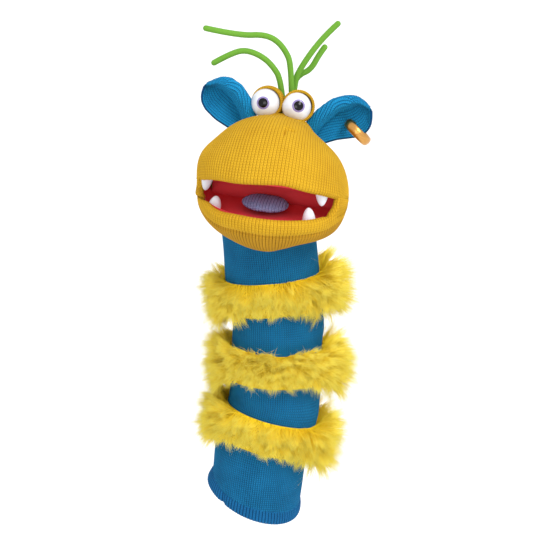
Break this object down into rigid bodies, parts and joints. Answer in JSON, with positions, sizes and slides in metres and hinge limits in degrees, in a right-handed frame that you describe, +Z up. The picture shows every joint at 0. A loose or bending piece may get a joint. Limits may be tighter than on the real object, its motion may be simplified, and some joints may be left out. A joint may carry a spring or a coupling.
{
  "type": "knitted sock hand puppet",
  "caption": "Knitted sock hand puppet with a padded head, an opening lined mouth, dome eyes, folded ears with an earring, wired feelers and fur bands round its long sleeve.",
  "frame": {"origin": "on the sleeve's axis at the arm opening, level with the highest point of the hem", "axes": "+Z up from the arm opening to the head, the face looks along -Y, +X on the viewer's right"},
  "size_m": [0.1389, 0.1415, 0.4021],
  "materials": {
    "blue_knit": "soft ribbed knit",
    "yellow_fur": "long soft pile",
    "yellow_knit": "soft ribbed knit",
    "padding": "soft foam",
    "mouth_board": "matte",
    "red_felt": "brushed felt",
    "white_felt": "matte felt",
    "purple_knit": "soft ribbed knit",
    "eye_white": "polished",
    "eye_purple": "polished",
    "eye_black": "polished",
    "washer": "matte",
    "gold_metal": "polished",
    "green_cord": "smooth satin",
    "steel_wire": "brushed"
  },
  "bodies": {
    "sleeve": {"sleeve_knit": "blue_knit", "cuff_hem": "blue_knit", "lower_fur_band": "yellow_fur", "middle_fur_band": "yellow_fur", "waist_knit": "blue_knit"},
    "torso": {"shoulder_knit": "blue_knit", "upper_fur_band": "yellow_fur"},
    "neck": {"neck_knit": "blue_knit", "throat_knit": "blue_knit"},
    "head": {"head_cover": "yellow_knit", "head_padding": "padding", "upper_mouth_lining": "red_felt", "upper_mouth_board": "mouth_board", "mouth_fold": "red_felt", "left_cheek_knit": "yellow_knit", "right_cheek_knit": "yellow_knit", "upper_left_fang": "white_felt", "upper_right_fang": "white_felt", "left_eyeball": "eye_white", "right_eyeball": "eye_white", "left_iris": "eye_purple", "right_iris": "eye_purple", "left_pupil": "eye_black", "right_pupil": "eye_black", "left_eye_washer": "washer", "right_eye_washer": "washer", "left_eye_mound": "yellow_knit", "right_eye_mound": "yellow_knit"},
    "jaw": {"jaw_cover": "yellow_knit", "jaw_padding": "padding", "lower_mouth_lining": "red_felt", "lower_mouth_board": "mouth_board", "tongue_cover": "purple_knit", "tongue_filling": "padding", "lower_left_fang": "white_felt", "lower_right_fang": "white_felt"},
    "left_ear": {"left_ear": "blue_knit"},
    "right_ear": {"right_ear": "blue_knit"},
    "earring": {"earring": "gold_metal"},
    "left_feelers": {"long_left_feeler_cover": "green_cord", "long_left_feeler_wire": "steel_wire", "short_left_feeler_cover": "green_cord", "short_left_feeler_wire": "steel_wire"},
    "right_feelers": {"long_right_feeler_cover": "green_cord", "long_right_feeler_wire": "steel_wire", "short_right_feeler_cover": "green_cord", "short_right_feeler_wire": "steel_wire"}
  },
  "joints": [
    {"name": "body_sway", "type": "hinge", "parent": "sleeve", "child": "torso", "pos_m": [0.0166, 0, 0.13], "axis": [0, 1, 0], "range_deg": [-14, 14], "deforming": ["waist_knit"]},
    {"name": "head_turn", "type": "hinge", "parent": "torso", "child": "neck", "pos_m": [0.0124, 0, 0.171], "axis": [-0.1019, 0, 0.9948], "range_deg": [-30, 30]},
    {"name": "head_nod", "type": "hinge", "parent": "neck", "child": "head", "pos_m": [0.0107, 0, 0.188], "axis": [0.9903, -0.1392, 0], "range_deg": [-14, 10], "deforming": ["throat_knit", "left_cheek_knit", "right_cheek_knit"]},
    {"name": "mouth_open", "type": "hinge", "parent": "head", "child": "jaw", "pos_m": [0.012, -0.008, 0.2385], "axis": [0.9839, -0.1383, -0.1132], "range_deg": [-15, 16], "deforming": ["mouth_fold", "upper_left_fang", "upper_right_fang", "lower_left_fang", "lower_right_fang"]},
    {"name": "left_ear_flop", "type": "hinge", "parent": "head", "child": "left_ear", "pos_m": [-0.0121, 0.009, 0.291], "axis": [-0.682, 0, -0.7314], "range_deg": [-14, 14], "stiffness_Nm_per_rad": 0.02},
    {"name": "right_ear_flop", "type": "hinge", "parent": "head", "child": "right_ear", "pos_m": [0.0491, 0.008, 0.2838], "axis": [-0.4067, 0, 0.9135], "range_deg": [-14, 14], "stiffness_Nm_per_rad": 0.03},
    {"name": "earring_swing", "type": "hinge", "parent": "right_ear", "child": "earring", "pos_m": [0.072, 0.005, 0.2903], "axis": [0, 1, 0], "range_deg": [-8, 8]},
    {"name": "left_feelers_sway", "type": "hinge", "parent": "head", "child": "left_feelers", "pos_m": [0.0245, 0.0225, 0.28], "axis": [0, 1, 0], "range_deg": [-12, 12]},
    {"name": "right_feelers_sway", "type": "hinge", "parent": "head", "child": "right_feelers", "pos_m": [0.0275, 0.031, 0.272], "axis": [0, 1, 0], "range_deg": [-11, 11]}
  ]
}
